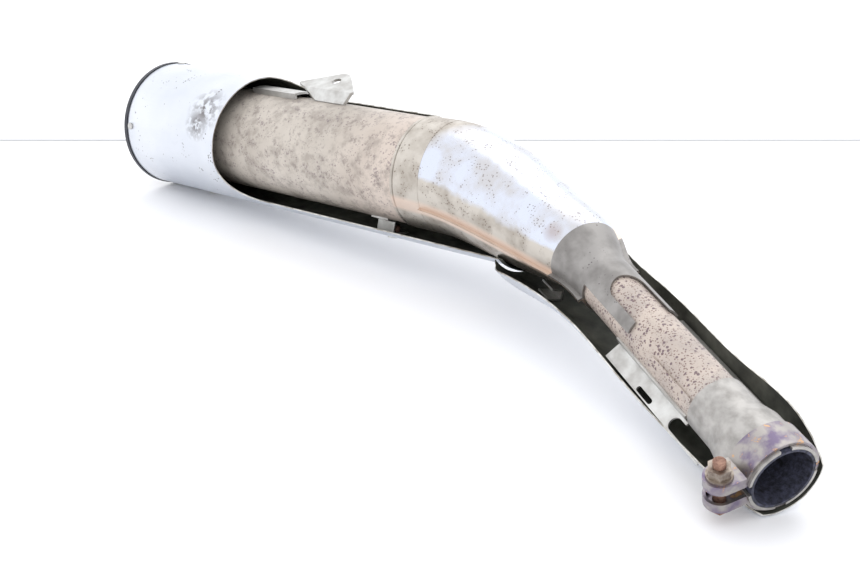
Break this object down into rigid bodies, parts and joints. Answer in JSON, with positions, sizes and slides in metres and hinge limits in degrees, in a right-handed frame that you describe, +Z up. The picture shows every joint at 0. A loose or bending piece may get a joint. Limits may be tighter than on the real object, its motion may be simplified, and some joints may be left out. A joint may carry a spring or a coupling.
{
  "type": "motorcycle exhaust muffler",
  "caption": "Motorcycle exhaust muffler: a round can with a bent clamshell cone, a clamped slotted inlet socket, a hanger lug and sheet covers.",
  "frame": {"origin": "centre of the inlet mouth, on the axis of the inlet pipe", "axes": "+X level, from the tail towards the inlet along the can; +Z up as the muffler lies on its covers; +Y to the side that the can lies on"},
  "size_m": [0.7922, 0.2639, 0.145],
  "materials": {
    "stained_steel": "heat-stained, rough",
    "satin_cover": "satin",
    "polished_steel": "polished, stained",
    "black_paint": "satin",
    "worn_steel": "worn, heat-tinted",
    "rusty_steel": "rusty",
    "bracket_steel": "dull",
    "graphite": "crumbled"
  },
  "bodies": {
    "muffler": {"can_body": "stained_steel", "can_rear_plate": "stained_steel", "rear_baffle": "stained_steel", "front_baffle": "stained_steel", "core_tube": "stained_steel", "crossover_short": "stained_steel", "crossover_long": "stained_steel", "tail_pipe": "stained_steel", "front_weld_bead": "stained_steel", "can_collar": "polished_steel", "cone_upper": "polished_steel", "cone_lower": "stained_steel", "neck_sheath": "stained_steel", "inlet_pipe": "stained_steel", "pipe_seam_strip": "stained_steel", "inlet_socket": "worn_steel", "inlet_gasket": "graphite", "hanger_strip": "bracket_steel", "hanger_bracket": "bracket_steel", "rear_cover": "satin_cover", "front_cover": "satin_cover", "saddle_bracket": "bracket_steel", "cover_stay_1": "bracket_steel", "cover_stay_2": "bracket_steel", "cover_stay_3": "bracket_steel", "cover_stay_4": "bracket_steel", "neck_stay": "bracket_steel", "cover_screws": "bracket_steel", "cover_weld_nuts": "rusty_steel", "rear_cap": "black_paint", "cap_screws": "bracket_steel", "rim_ring": "black_paint", "cap_rivets": "bracket_steel"},
    "clamp": {"clamp_band": "worn_steel"},
    "bolt": {"clamp_bolt": "rusty_steel"},
    "washer": {"clamp_washer": "worn_steel"},
    "nut": {"clamp_nut": "worn_steel"}
  },
  "joints": [
    {"name": "clamp_swivel", "type": "hinge", "parent": "muffler", "child": "clamp", "pos_m": [-0.01052, 0.00538, 0.00208], "axis": [0.8767, -0.4486, -0.1736], "range_deg": [-25, 6]},
    {"name": "bolt_turn", "type": "hinge", "parent": "clamp", "child": "bolt", "pos_m": [-0.02775, -0.0252, -0.00589], "axis": [0.0481, -0.2773, 0.9596], "continuous": true},
    {"name": "washer_lift", "type": "slide", "parent": "clamp", "child": "washer", "axis": [0.0481, -0.2773, 0.9596], "range_m": [0, 0.004]},
    {"name": "nut_turn", "type": "hinge", "parent": "washer", "child": "nut", "pos_m": [-0.02775, -0.0252, -0.00589], "axis": [0.0481, -0.2773, 0.9596], "range_deg": [0, 1152.2]}
  ],
  "couplings": [
    {"joint": "nut_turn", "follows": "washer_lift", "rad_per_m": 5026.5}
  ]
}
